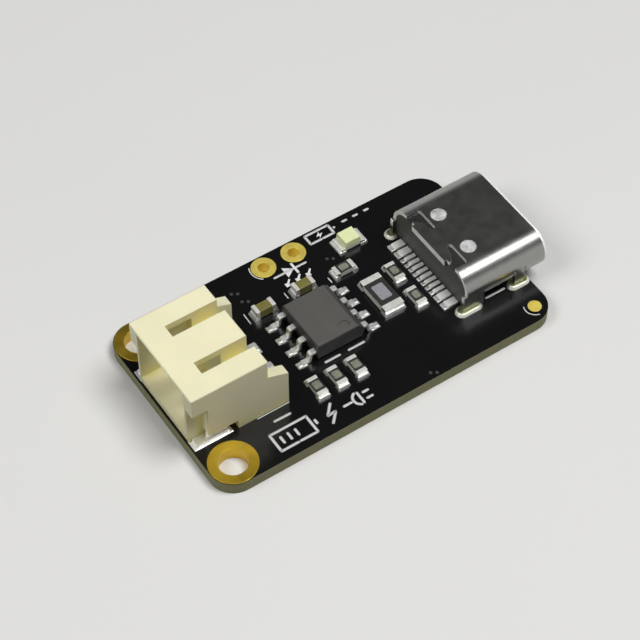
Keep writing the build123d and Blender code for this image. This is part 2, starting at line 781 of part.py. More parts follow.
for name, place, turned, length, width, height, cap in resistors:
    plane = chip_plane(place, turned)
    with BuildPart(plane.offset(end_cap_wrap)) as core:
        Box(
            length - 2 * end_cap_wrap,
            width,
            height - 2 * end_cap_wrap,
            align=(Align.CENTER, Align.CENTER, Align.MIN),
        )
    core.part.label = f"{name}_core"
    export_step(core.part, f"parts/{name}_core.step")
    with BuildPart(plane.offset(height - end_cap_wrap)) as coat:
        Box(length - 2 * cap, width, coat_thickness, align=(Align.CENTER, Align.CENTER, Align.MIN))
    coat.part.label = f"{name}_coat"
    export_step(coat.part, f"parts/{name}_coat.step")
    caps = end_caps(plane, length, width, height, cap, core.part)
    caps.label = f"{name}_terminals"
    export_step(caps, f"parts/{name}_terminals.step")
    resistor_joints.append(chip_solder(plane, length, width, height, cap, [core.part, caps]))

with BuildPart() as resistor_solder:
    for joint in resistor_joints:
        add(joint)
resistor_solder.part.label = "resistor_solder"
export_step(resistor_solder.part, "parts/resistor_solder.step")

# Indicator light: a white base with wrapped terminals and a clear moulded lens
led_place = (usb_rear_x - led_setback, half_width - led_inset)
led_plane = chip_plane(led_place, False)
with BuildPart(led_plane.offset(led_terminal_sheet)) as led_base:
    Box(
        led_length - 2 * led_terminal_sheet,
        led_width,
        led_base_height - 2 * led_terminal_sheet,
        align=(Align.CENTER, Align.CENTER, Align.MIN),
    )
led_base.part.label = "led_base"
export_step(led_base.part, "parts/led_base.step")

led_terminals = end_caps(
    led_plane, led_length, led_width, led_base_height, led_terminal_length, led_base.part
)
led_terminals.label = "led_terminals"
export_step(led_terminals, "parts/led_terminals.step")

with BuildPart() as led_lens:
    with BuildSketch(led_plane.offset(led_base_height - led_terminal_sheet)):
        Rectangle(led_length - 2 * led_terminal_length, led_width)
    extrude(amount=led_terminal_sheet)
    with BuildSketch(led_plane.offset(led_base_height)):
        Rectangle(led_lens_length, led_width)
    extrude(amount=led_lens_height, taper=led_lens_draft)
    add(led_terminals, mode=Mode.SUBTRACT)
led_lens.part.label = "led_lens"
export_step(led_lens.part, "parts/led_lens.step")

led_joint = chip_solder(
    led_plane, led_length, led_width, led_base_height, led_terminal_length, [led_base.part, led_terminals]
)
led_joint.label = "led_solder"
export_step(led_joint, "parts/led_solder.step")
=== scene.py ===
import math

import bmesh
import bpy
from mathutils import Matrix, Vector


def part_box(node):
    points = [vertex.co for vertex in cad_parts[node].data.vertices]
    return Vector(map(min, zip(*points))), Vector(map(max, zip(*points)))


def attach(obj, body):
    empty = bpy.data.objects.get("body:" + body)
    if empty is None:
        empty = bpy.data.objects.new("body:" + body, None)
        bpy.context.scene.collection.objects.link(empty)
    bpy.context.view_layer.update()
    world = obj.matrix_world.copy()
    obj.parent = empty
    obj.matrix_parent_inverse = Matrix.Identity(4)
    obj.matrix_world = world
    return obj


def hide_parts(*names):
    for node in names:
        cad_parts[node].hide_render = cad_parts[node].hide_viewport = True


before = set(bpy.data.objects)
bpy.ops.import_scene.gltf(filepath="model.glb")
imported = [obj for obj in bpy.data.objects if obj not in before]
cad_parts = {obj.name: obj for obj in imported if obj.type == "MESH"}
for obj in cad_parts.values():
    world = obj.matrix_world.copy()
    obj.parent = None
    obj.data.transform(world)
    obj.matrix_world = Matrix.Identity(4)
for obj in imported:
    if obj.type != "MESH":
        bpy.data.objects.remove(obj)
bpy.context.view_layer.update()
MM = 0.001


# The board is woven glass laminate, milled to its outline with rounded corners, under black solder mask.
# The mask lies on both faces and stops at the milled edge, where the bare laminate shows its olive plies.
def fed(tree, socket, given):
    """Feeds a socket from another socket, or sets it to a plain value"""
    if isinstance(given, bpy.types.NodeSocket):
        tree.links.new(given, socket)
    else:
        socket.default_value = given


def reckoned(tree, operation, *values):
    """The result of one sum on sockets or plain numbers"""
    node = tree.nodes.new("ShaderNodeMath")
    node.operation = operation
    for socket, given in zip(node.inputs, values):
        fed(tree, socket, given)
    return node.outputs["Value"]


def ramped(tree, value, start, end, low=0.0, high=1.0, shape="LINEAR"):
    """A number that goes from low to high while the value goes from start to end"""
    node = tree.nodes.new("ShaderNodeMapRange")
    node.interpolation_type = shape
    limits = {"Value": value, "From Min": start, "From Max": end, "To Min": low, "To Max": high}
    for label, given in limits.items():
        fed(tree, node.inputs[label], given)
    return node.outputs["Result"]


def tinted(tree, share, first, second):
    """A colour between two by a share, where each colour is a socket or three numbers"""
    node = tree.nodes.new("ShaderNodeMix")
    node.data_type = "RGBA"
    share_in, first_in, second_in, colour_out = 0, 6, 7, 2
    fed(tree, node.inputs[share_in], share)
    for place, given in ((first_in, first), (second_in, second)):
        fed(tree, node.inputs[place], given if isinstance(given, bpy.types.NodeSocket) else (*given, 1))
    return node.outputs[colour_out]


def noise(tree, size_mm, detail, vector):
    """A soft random pattern with spots of about one size"""
    node = tree.nodes.new("ShaderNodeTexNoise")
    node.inputs["Scale"].default_value = 1 / (size_mm * MM)
    node.inputs["Detail"].default_value = detail
    tree.links.new(vector, node.inputs["Vector"])
    return node.outputs["Fac"]


def own_place(tree):
    """Where a point lies in its object"""
    return tree.nodes.new("ShaderNodeTexCoord").outputs["Object"]


def parts_of(tree, vector):
    """The X, Y and Z of a vector"""
    node = tree.nodes.new("ShaderNodeSeparateXYZ")
    tree.links.new(vector, node.inputs["Vector"])
    return node.outputs


def finish(name, colour, roughness, mottle, mottle_mm, grain_mm, metallic=0.0, relief_um=1.5, wear=0.06):
    """One shader, softly mottled in its colour and polish, with a fine grain in its relief"""
    material = bpy.data.materials.new(name)
    material.use_nodes = True
    tree = material.node_tree
    shader = tree.nodes["Principled BSDF"]
    place = own_place(tree)
    patches = noise(tree, mottle_mm, 4, place)
    darker = [c * (1 - mottle) for c in colour]
    paler = [min(1, c * (1 + mottle)) for c in colour]
    fed(tree, shader.inputs["Base Color"], tinted(tree, patches, darker, paler))
    smoothest, roughest = max(0.02, roughness - wear), roughness + wear
    fed(tree, shader.inputs["Roughness"], ramped(tree, patches, 0, 1, smoothest, roughest))
    bump = tree.nodes.new("ShaderNodeBump")
    bump.inputs["Distance"].default_value = relief_um * 1e-6
    fed(tree, bump.inputs["Height"], noise(tree, grain_mm, 3, place))
    fed(tree, shader.inputs["Normal"], bump.outputs["Normal"])
    shader.inputs["Metallic"].default_value = metallic
    return material


def placed(name, data):
    """A new object in the scene that holds a mesh, a lamp or a camera"""
    holder = bpy.data.objects.new(name, data)
    bpy.context.scene.collection.objects.link(holder)
    return holder


def eased(node, piece_name, radius_mm, material, segments=2):
    """A copy of a CAD node with its triangles joined, its edges rounded and its curves shaded smooth"""
    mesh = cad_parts[node].data.copy()
    mesh.name = piece_name
    body = bmesh.new()
    body.from_mesh(mesh)
    bmesh.ops.remove_doubles(body, verts=body.verts, dist=same_point)
    bmesh.ops.dissolve_limit(body, angle_limit=flat_angle, verts=body.verts, edges=body.edges)
    for face in body.faces:
        face.smooth = True
        face.material_index = 0
    body.to_mesh(mesh)
    body.free()
    for name in ("custom_normal", "sharp_edge", "sharp_face"):
        if name in mesh.attributes:
            mesh.attributes.remove(mesh.attributes[name])
    mesh.materials.clear()
    mesh.materials.append(material)
    piece = placed(piece_name, mesh)
    if radius_mm:
        rounding = piece.modifiers.new("rounded_edges", "BEVEL")
        rounding.limit_method = "ANGLE"
        rounding.angle_limit = edge_angle
        rounding.width = radius_mm * MM
        rounding.segments = segments
        rounding.harden_normals = True
    else:
        mesh.set_sharp_from_angle(angle=edge_angle)
    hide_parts(node)
    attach(piece, "root")


def fed_by(shader, label):
    """What feeds a socket of a shader so far, or the value that it is set to"""
    socket = shader.inputs[label]
    return socket.links[0].from_socket if socket.links else socket.default_value


def refinish(material, share, colour, roughness, metallic=None):
    """Where the share is 1, another colour and polish take the place of the first"""
    tree = material.node_tree
    shader = tree.nodes["Principled BSDF"]
    fed(tree, shader.inputs["Base Color"], tinted(tree, share, fed_by(shader, "Base Color"), colour))
    for label, given in (("Roughness", roughness), ("Metallic", metallic)):
        if given is not None:
            fed(tree, shader.inputs[label], ramped(tree, share, 0, 1, fed_by(shader, label), given))


def show_on_slopes(material, darker, paler, ply_mm, roughness, level_to, slope_from):
    """Where the surface turns away from level, another mottled finish takes over, drawn out in level plies"""
    tree = material.node_tree
    facing = parts_of(tree, tree.nodes.new("ShaderNodeNewGeometry").outputs["Normal"])
    slope = ramped(tree, reckoned(tree, "ABSOLUTE", facing["Z"]), level_to, slope_from)
    level_stretch = 0.12
    drawn_out = tree.nodes.new("ShaderNodeMapping")
    drawn_out.inputs["Scale"].default_value = (level_stretch, level_stretch, 1)
    fed(tree, drawn_out.inputs["Vector"], own_place(tree))
    plies = tinted(tree, noise(tree, ply_mm, 5, drawn_out.outputs["Vector"]), darker, paler)
    refinish(material, slope, plies, roughness)


same_point = 2e-7
flat_angle = math.radians(0.5)
edge_angle = math.radians(32)
board_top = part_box("circuit_board")[1].z
board_mask = finish(
    "black_solder_mask", (0.0045, 0.0045, 0.0050), 0.22,
    mottle=0.25, mottle_mm=5, grain_mm=0.35, relief_um=0.5, wear=0.02,
)
show_on_slopes(
    board_mask, darker=(0.150, 0.145, 0.062), paler=(0.330, 0.320, 0.160),
    ply_mm=0.08, roughness=0.62, level_to=0.90, slope_from=0.70,
)
eased("circuit_board", "board_laminate", 0.07, board_mask)


# Every hole that takes a screw or a wire is lined with plated copper, flanged on both faces, and gold on top.
# The round bare pad near one corner is the same foil, left open in the mask as a target for the machine that
# places the parts.
gold_plating = finish(
    "gold_plating", (0.64, 0.44, 0.045), 0.38, metallic=1,
    mottle=0.22, mottle_mm=0.9, grain_mm=0.10, relief_um=1.5, wear=0.08,
)
bright_gold = finish(
    "bright_gold_plating", (1.0, 0.76, 0.17), 0.54, metallic=1,
    mottle=0.14, mottle_mm=0.5, grain_mm=0.08, relief_um=2.5, wear=0.08,
)
eased("mounting_hole_plating", "mounting_hole_rings", 0.035, gold_plating, segments=3)
eased("led_pin_hole_plating", "pin_hole_rings", 0.045, bright_gold, segments=3)
eased("fiducial_pad", "fiducial_dot", 0.03, bright_gold, segments=3)


# Small plated holes carry current from one face to the other. The mask covers each as a faint round cap,
# paler than the rest because it is thin there. They stand in pairs, at one pitch.
def opened_tree(name, inputs, result):
    """An empty tree with named inputs, the last of them the material, and one result"""
    tree = bpy.data.node_groups.new(name, "GeometryNodeTree")
    for label, kind in (*inputs.items(), ("Material", "Material")):
        tree.interface.new_socket(label, in_out="INPUT", socket_type="NodeSocket" + kind)
    tree.interface.new_socket(result, in_out="OUTPUT", socket_type="NodeSocketGeometry")
    return tree, tree.nodes.new("NodeGroupInput").outputs


def closed_tree(tree, geometry, material):
    """Ends a tree in real geometry of one material"""
    real = tree.nodes.new("GeometryNodeRealizeInstances")
    coated = tree.nodes.new("GeometryNodeSetMaterial")
    fed(tree, real.inputs["Geometry"], geometry)
    fed(tree, coated.inputs["Geometry"], real.outputs["Geometry"])
    fed(tree, coated.inputs["Material"], material)
    fed(tree, tree.nodes.new("NodeGroupOutput").inputs[0], coated.outputs["Geometry"])
    return tree


def row_tree(name):
    """Sets copies of one mesh along a row and joins them"""
    inputs = {"Pattern": "Geometry", "Count": "Int", "First": "Vector", "Pitch": "Vector"}
    tree, given = opened_tree(name, inputs, "Row")
    row = tree.nodes.new("GeometryNodeMeshLine")
    row.mode = "OFFSET"
    for socket, label in (("Count", "Count"), ("Start Location", "First"), ("Offset", "Pitch")):
        fed(tree, row.inputs[socket], given[label])
    copies = tree.nodes.new("GeometryNodeInstanceOnPoints")
    fed(tree, copies.inputs["Points"], row.outputs["Mesh"])
    fed(tree, copies.inputs["Instance"], given["Pattern"])
    return closed_tree(tree, copies.outputs["Instances"], given["Material"])


def flat_outline(name, outline, height):
    """A low prism that stands on zero, from a closed outline in millimetres and a height in metres"""
    count = len(outline)
    points = [(x * MM, y * MM, level) for level in (0, height) for x, y in outline]
    base, top = range(count - 1, -1, -1), range(count, 2 * count)
    sides = [(i, (i + 1) % count, (i + 1) % count + count, i + count) for i in range(count)]
    mesh = bpy.data.meshes.new(name)
    mesh.from_pydata(points, [], [tuple(base), tuple(top), *sides])
    return mesh


def arc_route(centre, radius, start_degrees, end_degrees, steps=14):
    """Points along an arc, in millimetres"""
    whole_turn = end_degrees - start_degrees
    turns = [math.radians(start_degrees + whole_turn * i / steps) for i in range(steps + 1)]
    return [(centre[0] + radius * math.cos(t), centre[1] + radius * math.sin(t)) for t in turns]


def circle_route(radius, points):
    """Points round a circle about zero, in millimetres"""
    return arc_route((0, 0), radius, 0, 360 - 360 / points, points - 1)


def grown_mesh(holder):
    """The mesh that an object's modifiers make of it, with the object itself taken away"""
    evaluated = holder.evaluated_get(bpy.context.evaluated_depsgraph_get())
    mesh = bpy.data.meshes.new_from_object(evaluated)
    bpy.data.objects.remove(holder)
    return mesh


def grown(name, base_mesh, tree, sizes, material):
    """Runs a tree on a base mesh and keeps the result as one plain piece"""
    base = placed(name + "_base", base_mesh)
    modifier = base.modifiers.new("grow", "NODES")
    modifier.node_group = tree
    values = {**sizes, "Material": material}
    for socket in tree.interface.items_tree:
        if socket.name in values:
            modifier[socket.identifier] = values[socket.name]
    mesh = grown_mesh(base)
    body = bmesh.new()
    body.from_mesh(mesh)
    bmesh.ops.remove_doubles(body, verts=body.verts, dist=same_point / 2)
    bmesh.ops.recalc_face_normals(body, faces=body.faces)
    body.to_mesh(mesh)
    body.free()
    mesh.name = name
    piece = placed(name, mesh)
    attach(piece, "root")


foil = 0.006 * MM
rows = row_tree("copies_in_a_row")
via_mask = finish(
    "mask_over_vias", (0.050, 0.050, 0.046), 0.30,
    mottle=0.3, mottle_mm=0.2, grain_mm=0.10, relief_um=2,
)
via_cover_radius = 0.13
via_pitch = (0.38 * MM, -0.23 * MM, 0)
via_pairs = ((-4.46, 6.08), (-4.20, 5.08), (2.95, 5.02), (3.16, -7.36))
for number, (x, y) in enumerate(via_pairs, 1):
    piece_name = f"via_covers_{number}"
    grown(
        piece_name, flat_outline(piece_name, circle_route(via_cover_radius, 24), foil), rows,
        {"Count": 2, "First": (x * MM, y * MM, board_top), "Pitch": via_pitch}, via_mask,
    )


# The white legend is printed in epoxy ink once the mask has set: outlines beside the parts, the symbol of the
# light between its two pins, and plain marks. Its lines have soft edges and are about 0.02 mm high. Where
# two marks cross, one is a little higher, so that no two faces coincide.
def ribbon_tree(name):
    """Turns routes of edges into low ribbons with round ends"""
    sizes = ("Width", "Height", "Shoulder", "Corner Radius", "Step")
    tree, given = opened_tree(name, {"Routes": "Geometry", **dict.fromkeys(sizes, "Float")}, "Ribbons")
    nodes = tree.nodes
    curve = nodes.new("GeometryNodeMeshToCurve")
    fed(tree, curve.inputs["Mesh"], given["Routes"])
    corner = nodes.new("GeometryNodeFilletCurve")
    corner.mode = "POLY"
    corner.inputs["Count"].default_value = 5
    corner.inputs["Limit Radius"].default_value = True
    fed(tree, corner.inputs["Curve"], curve.outputs["Curve"])
    fed(tree, corner.inputs["Radius"], given["Corner Radius"])
    even = nodes.new("GeometryNodeResampleCurve")
    even.mode = "LENGTH"
    fed(tree, even.inputs["Curve"], corner.outputs["Curve"])
    fed(tree, even.inputs["Length"], given["Step"])
    level = nodes.new("GeometryNodeSetCurveNormal")
    level.mode = "Z_UP"
    fed(tree, level.inputs["Curve"], even.outputs["Curve"])
    along = nodes.new("GeometryNodeSplineParameter").outputs["Length"]
    whole = nodes.new("GeometryNodeSplineLength").outputs["Length"]
    nearest_end = reckoned(tree, "MINIMUM", along, reckoned(tree, "SUBTRACT", whole, along))
    half_width = reckoned(tree, "MULTIPLY", given["Width"], 0.5)
    end_share = ramped(tree, nearest_end, 0, half_width, 1, 0)
    just_over_one = 1.01
    left = reckoned(tree, "SUBTRACT", just_over_one, reckoned(tree, "POWER", end_share, 2))
    section = nodes.new("GeometryNodeCurvePrimitiveQuadrilateral")
    section.mode = "TRAPEZOID"
    section.inputs["Offset"].default_value = 0
    fed(tree, section.inputs["Bottom Width"], given["Width"])
    top_width = reckoned(tree, "MULTIPLY_ADD", given["Shoulder"], -2, given["Width"])
    fed(tree, section.inputs["Top Width"], top_width)
    fed(tree, section.inputs["Height"], given["Height"])
    ribbon = nodes.new("GeometryNodeCurveToMesh")
    ribbon.inputs["Fill Caps"].default_value = True
    fed(tree, ribbon.inputs["Curve"], level.outputs["Curve"])
    fed(tree, ribbon.inputs["Profile Curve"], section.outputs["Curve"])
    fed(tree, ribbon.inputs["Scale"], reckoned(tree, "SQRT", left))
    return closed_tree(tree, ribbon.outputs["Mesh"], given["Material"])


def routes_mesh(name, routes, height):
    """Lines of points, in millimetres on the board, as edges at one height"""
    points, edges = [], []
    for route in routes:
        first = len(points)
        points += [(x * MM, y * MM, height) for x, y in route]
        edges += [(first + i, first + i + 1) for i in range(len(route) - 1)]
    mesh = bpy.data.meshes.new(name)
    mesh.from_pydata(points, edges, [])
    return mesh


legend_ink = finish(
    "white_legend_ink", (0.70, 0.71, 0.70), 0.55,
    mottle=0.10, mottle_mm=0.25, grain_mm=0.06, relief_um=2.5,
)
ink = 0.018 * MM


def box_route(low, high):
    """A closed outline in millimetres, with its end brought back a hair past its start"""
    (x0, y0), (x1, y1) = low, high
    middle, overlap = (x0 + x1) / 2, 0.001
    return [(middle, y0), (x1, y0), (x1, y1), (x0, y1), (x0, y0), (middle - overlap, y0)]


ribbons = ribbon_tree("ribbons_along_routes")
chip_end_dashes = [[(-2.38, -2.62), (-1.04, -2.62)], [(-0.46, -2.62), (0.97, -2.62)]]
stake_dash = [[(10.13, -4.20), (11.87, -4.22)]]
minus_mark = [[(-8.02, -4.85), (-6.60, -4.87)]]
light_symbol = [[(-1.23, 5.60), (1.58, 5.60)]]
battery_sign = [
    box_route((-8.85, -7.15), (-5.95, -5.65)),
    [(-5.62, -6.65), (-5.62, -6.15)],
    [(-8.30, -6.75), (-8.30, -6.05)],
    [(-7.72, -6.75), (-7.72, -6.05)],
    [(-7.14, -6.75), (-7.14, -6.05)],
]
bolt_sign = [[(-3.95, -5.62), (-4.72, -6.48), (-4.02, -6.40), (-4.78, -7.22)]]
plug_sign = [
    [(-3.45, -6.42), (-2.65, -6.42)],
    [(-2.00, -5.86), (-2.00, -6.98)],
    arc_route((-2.00, -6.42), 0.56, 90, 270)[1:-1],
    [(-1.72, -6.14), (-1.12, -6.14)],
    [(-1.72, -6.70), (-1.12, -6.70)],
]
light_sign = [
    box_route((2.75, 6.78), (4.75, 7.64)),
    [(5.02, 7.10), (5.02, 7.33)],
    [(5.75, 7.32), (6.25, 7.32)],
    [(6.70, 7.32), (7.20, 7.32)],
    [(7.65, 7.32), (8.15, 7.32)],
]
legend_lines = (
    ("legend_part_marks", chip_end_dashes + stake_dash + minus_mark, 0.20),
    ("legend_light_symbol", light_symbol, 0.19),
    ("legend_signs", battery_sign + bolt_sign + plug_sign + light_sign, 0.21),
    ("legend_outlines", [
        arc_route((12.6, -6.7), 0.78, 150, 262),
        arc_route((-1.22, 6.85), 1.08, 148, 236),
        [(-4.72, 4.08), (-4.76, 3.05)],
        [(-1.32, 4.10), (-1.34, 3.50)],
        [(2.02, 3.55), (2.02, 2.98)],
        [(-8.8, -4.04), (-6.2, -4.04)],
    ], 0.09),
)
for piece_name, routes, width in legend_lines:
    grown(
        piece_name, routes_mesh(piece_name, routes, board_top + ink / 2), ribbons,
        {"Width": width * MM, "Height": ink, "Shoulder": ink, "Corner Radius": 0.03 * MM, "Step": 0.02 * MM},
        legend_ink,
    )
light_triangle = [(0.48, 5.60), (-0.26, 6.10), (-0.26, 5.10)]
light_bar = [(0.48, 5.08), (0.66, 5.08), (0.66, 6.12), (0.48, 6.12)]
small_bolt = [(3.84, 7.48), (3.46, 7.14), (3.72, 7.14), (3.62, 6.90), (4.04, 7.26), (3.77, 7.26)]
for piece_name, outline, layer in (
    ("legend_light_triangle", light_triangle, 0.9 * ink),
    ("legend_light_bar", light_bar, 1.1 * ink),
    ("legend_small_bolt", small_bolt, ink),
):
    grown(
        piece_name, flat_outline(piece_name, outline, layer), rows,
        {"Count": 1, "First": (0, 0, board_top), "Pitch": (0, 0, 0)}, legend_ink,
    )


# Three like arrows beside the light's symbol stand for the light that it gives off. Each is a shaft with two
# barbs, printed in the same ink, and they run beside the symbol at an even pitch.
arrow_line = 0.065
arrow_barb = 0.34
arrow_shaft = 0.50
across = arrow_line * math.sqrt(2)
light_arrow = [
    (0, 0), (arrow_barb, 0), (arrow_barb, 2 * arrow_line), (4 * arrow_line, 2 * arrow_line),
    (arrow_shaft + across, arrow_shaft), (arrow_shaft, arrow_shaft + across),
    (2 * arrow_line, 4 * arrow_line), (2 * arrow_line, arrow_barb), (0, arrow_barb),
]
grown(
    "legend_light_arrows", flat_outline("light_arrow", light_arrow, ink), rows,
    {"Count": 3, "First": (-0.86 * MM, 4.40 * MM, board_top), "Pitch": (0.88 * MM, 0, 0)},
    legend_ink,
)


# The charger chip is an eight-lead moulded package: bent tinned leads on two sides, soldered to pads,
# and a black epoxy body cast round them between two tapered mould halves. Its top is matt from the mould.
chip_epoxy = finish(
    "chip_epoxy", (0.078, 0.076, 0.068), 0.52,
    mottle=0.18, mottle_mm=1.4, grain_mm=0.035, relief_um=3.0, wear=0.05,
)
# Painted shade: the chip's sloping sides are painted darker than its top, for the shade they lie in.
show_on_slopes(
    chip_epoxy, darker=(0.026, 0.023, 0.024), paler=(0.044, 0.039, 0.040),
    ply_mm=0.35, roughness=0.50, level_to=0.94, slope_from=0.80,
)
tinned_metal = finish(
    "tinned_metal", (0.92, 0.92, 0.88), 0.46, metallic=1,
    mottle=0.10, mottle_mm=0.3, grain_mm=0.08, relief_um=2.5, wear=0.10,
)
eased("charger_chip_body", "charger_chip_case", 0.05, chip_epoxy)
eased("charger_chip_leads", "charger_chip_legs", 0.015, tinned_metal)


# Solder is melted paste that wets the pad and climbs the metal, then sets bright with a flowing outline.
# Each joint is the plain wedge of the solid part, melted into one round-edged skin and drawn smooth.
def flowed(node, piece_name, material):
    """A copy of a CAD node melted into one smooth skin, worked in millimetres"""
    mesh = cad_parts[node].data.copy()
    body = bmesh.new()
    body.from_mesh(mesh)
    bmesh.ops.remove_doubles(body, verts=body.verts, dist=same_point)
    bmesh.ops.scale(body, vec=(1 / MM, 1 / MM, 1 / MM), verts=body.verts)
    body.to_mesh(mesh)
    body.free()
    rough = placed(piece_name + "_rough", mesh)
    melt = rough.modifiers.new("melt", "REMESH")
    melt.mode = "VOXEL"
    melt.voxel_size = melt_step_mm
    draw = rough.modifiers.new("draw", "SMOOTH")
    draw.factor = 0.6
    draw.iterations = 4
    mesh = grown_mesh(rough)
    for vertex in mesh.vertices:
        vertex.co = vertex.co * MM
    for face in mesh.polygons:
        face.use_smooth = True
        face.material_index = 0
    mesh.name = piece_name
    mesh.materials.clear()
    mesh.materials.append(material)
    piece = placed(piece_name, mesh)
    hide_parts(node)
    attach(piece, "root")


melt_step_mm = 0.035
bright_solder = finish(
    "bright_solder", (0.95, 0.95, 0.92), 0.43, metallic=1,
    mottle=0.08, mottle_mm=0.25, grain_mm=0.16, relief_um=9, wear=0.12,
)
# The joints round the shell's stakes are olive where they lie level and pale where they slope.
olive_topped_solder = finish(
    "olive_topped_solder", (0.34, 0.35, 0.17), 0.44, metallic=1,
    mottle=0.45, mottle_mm=0.35, grain_mm=0.16, relief_um=9, wear=0.12,
)
show_on_slopes(
    olive_topped_solder, darker=(0.86, 0.86, 0.74), paler=(0.95, 0.95, 0.88),
    ply_mm=0.20, roughness=0.42, level_to=0.985, slope_from=0.93,
)
for node, piece_name, metal in (
    ("charger_chip_solder", "charger_chip_joints", bright_solder),
    ("capacitor_solder", "capacitor_joints", bright_solder),
    ("resistor_solder", "resistor_joints", bright_solder),
    ("led_solder", "light_joints", bright_solder),
    ("usb_tail_solder", "usb_tail_joints", bright_solder),
    ("usb_stake_solder", "usb_stake_joints", olive_topped_solder),
    ("battery_header_solder", "battery_header_joints", bright_solder),
):
    flowed(node, piece_name, metal)


# Two chip capacitors stand on the far side of the chip: blocks of fired ceramic with metal caps dipped on
# each end. The ceramic is olive brown and slightly waxy, and the caps wrap round with a soft, rounded hem.
capacitor_ceramic = finish(
    "capacitor_ceramic", (0.175, 0.158, 0.042), 0.38,
    mottle=0.20, mottle_mm=0.5, grain_mm=0.05, relief_um=2.0,
)
dipped_caps = finish(
    "dipped_end_caps", (0.93, 0.92, 0.86), 0.54, metallic=1,
    mottle=0.10, mottle_mm=0.3, grain_mm=0.09, relief_um=6.0, wear=0.08,
)
for name in ("input_capacitor", "battery_capacitor"):
    eased(name + "_body", name + "_block", 0.05, capacitor_ceramic, segments=3)
    eased(name + "_ends", name + "_caps", 0.04, dipped_caps, segments=3)


# Seven chip resistors: each is a white ceramic tile with a black glazed film on top, and a metal terminal
# wrapped round each end. One is larger than the rest, and each has a soft printed patch on its film.
tile_ceramic = finish(
    "resistor_tile", (0.62, 0.60, 0.56), 0.45,
    mottle=0.06, mottle_mm=0.4, grain_mm=0.05, relief_um=1.5,
)
film_glaze = finish(
    "resistor_glaze", (0.030, 0.031, 0.027), 0.34,
    mottle=0.3, mottle_mm=0.4, grain_mm=0.08, relief_um=1.5,
)
for name in (
    "led_resistor", "input_resistor", "side_resistor_1", "side_resistor_2",
    "row_resistor_1", "row_resistor_2", "row_resistor_3",
):
    eased(name + "_core", name + "_tile", 0.02, tile_ceramic)
    eased(name + "_coat", name + "_glaze", 0.015, film_glaze)
    eased(name + "_terminals", name + "_wraps", 0.03, dipped_caps, segments=3)


def soft_patch(name, length, width, corner, height):
    """A printed patch with round corners, centred on zero, in millimetres but for its height in metres"""
    outline = []
    for quarter, (side_x, side_y) in enumerate(((1, 1), (-1, 1), (-1, -1), (1, -1))):
        centre = (side_x * (length / 2 - corner), side_y * (width / 2 - corner))
        outline += arc_route(centre, corner, 90 * quarter, 90 * quarter + 90, 4)
    return flat_outline(name, outline, height)


print_height = 0.008 * MM
print_corner = 0.12
small_print = finish(
    "small_resistor_print", (0.19, 0.20, 0.155), 0.50,
    mottle=0.75, mottle_mm=0.13, grain_mm=0.05,
)
large_print = finish(
    "large_resistor_print", (0.26, 0.255, 0.285), 0.50,
    mottle=0.45, mottle_mm=0.16, grain_mm=0.06,
)
for piece_name, first_node, count, pitch, length, width, print_ink in (
    ("row_resistor_prints", "row_resistor_1", 3, (1.6, 0), 0.60, 0.66, small_print),
    ("side_resistor_prints", "side_resistor_1", 2, (0, -2.65), 0.52, 0.64, small_print),
    ("light_resistor_print", "led_resistor", 1, (0, 0), 0.68, 0.52, small_print),
    ("input_resistor_print", "input_resistor", 1, (0, 0), 0.92, 1.40, large_print),
):
    coat_low, coat_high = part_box(first_node + "_coat")
    first = ((coat_low.x + coat_high.x) / 2, (coat_low.y + coat_high.y) / 2, coat_high.z)
    grown(
        piece_name, soft_patch(piece_name, length, width, print_corner, print_height), rows,
        {"Count": count, "First": first, "Pitch": (pitch[0] * MM, pitch[1] * MM, 0)}, print_ink,
    )


# The charging light is a small moulded block: a white base with two metal terminals, and a clear resin lens
# cast on top. The phosphor below tints the lens, so it looks a soft yellow-green with no light lit.
light_base = finish(
    "light_base_resin", (0.70, 0.70, 0.62), 0.45,
    mottle=0.05, mottle_mm=0.5, grain_mm=0.05, relief_um=1.5,
)
light_resin = finish(
    "light_lens_resin", (0.76, 0.80, 0.46), 0.24,
    mottle=0.08, mottle_mm=0.4, grain_mm=0.08, relief_um=1.0,
)
resin_shader = light_resin.node_tree.nodes["Principled BSDF"]
resin_shader.inputs["Subsurface Weight"].default_value = 0.4
resin_shader.inputs["Subsurface Radius"].default_value = (1.0, 0.9, 0.4)
resin_shader.inputs["Subsurface Scale"].default_value = 0.3 * MM
eased("led_base", "light_base", 0.03, light_base)
eased("led_terminals", "light_terminals", 0.02, dipped_caps)
eased("led_lens", "light_lens", 0.08, light_resin, segments=3)


# The USB-C socket is a black moulded insulator with two rows of gold contacts, a steel plate in the middle of
# its tongue, and a folded steel shell with a rolled mouth, whose stakes are soldered into the board.
connector_black = finish(
    "connector_moulding", (0.010, 0.010, 0.009), 0.50,
    mottle=0.12, mottle_mm=0.6, grain_mm=0.05, relief_um=2.0,
)
# Painted light: the moulding's sides and ends are painted a pale grey, far lighter than its near-black top,
# for the light they catch.
show_on_slopes(
    connector_black, darker=(0.058, 0.060, 0.053), paler=(0.074, 0.076, 0.069),
    ply_mm=0.35, roughness=0.50, level_to=0.94, slope_from=0.80,
)
contact_gold = finish(
    "contact_gold", (0.85, 0.66, 0.28), 0.36, metallic=1,
    mottle=0.08, mottle_mm=0.4, grain_mm=0.08, relief_um=1.0,
)
shell_steel = finish(
    "shell_steel", (0.34, 0.34, 0.325), 0.29, metallic=1,
    mottle=0.08, mottle_mm=0.8, grain_mm=0.2, relief_um=0.8, wear=0.05,
)


def tin_the_tails(material, tin_colour, tin_roughness, tin_metallic, gold_begins_x, fade):
    """Gold is plated only where a plug slides: outside the moulding the same strip is dull tin"""
    tree = material.node_tree
    outside = ramped(tree, parts_of(tree, own_place(tree))["X"], gold_begins_x, gold_begins_x + fade, 1, 0)
    refinish(material, outside, tin_colour, tin_roughness, tin_metallic)


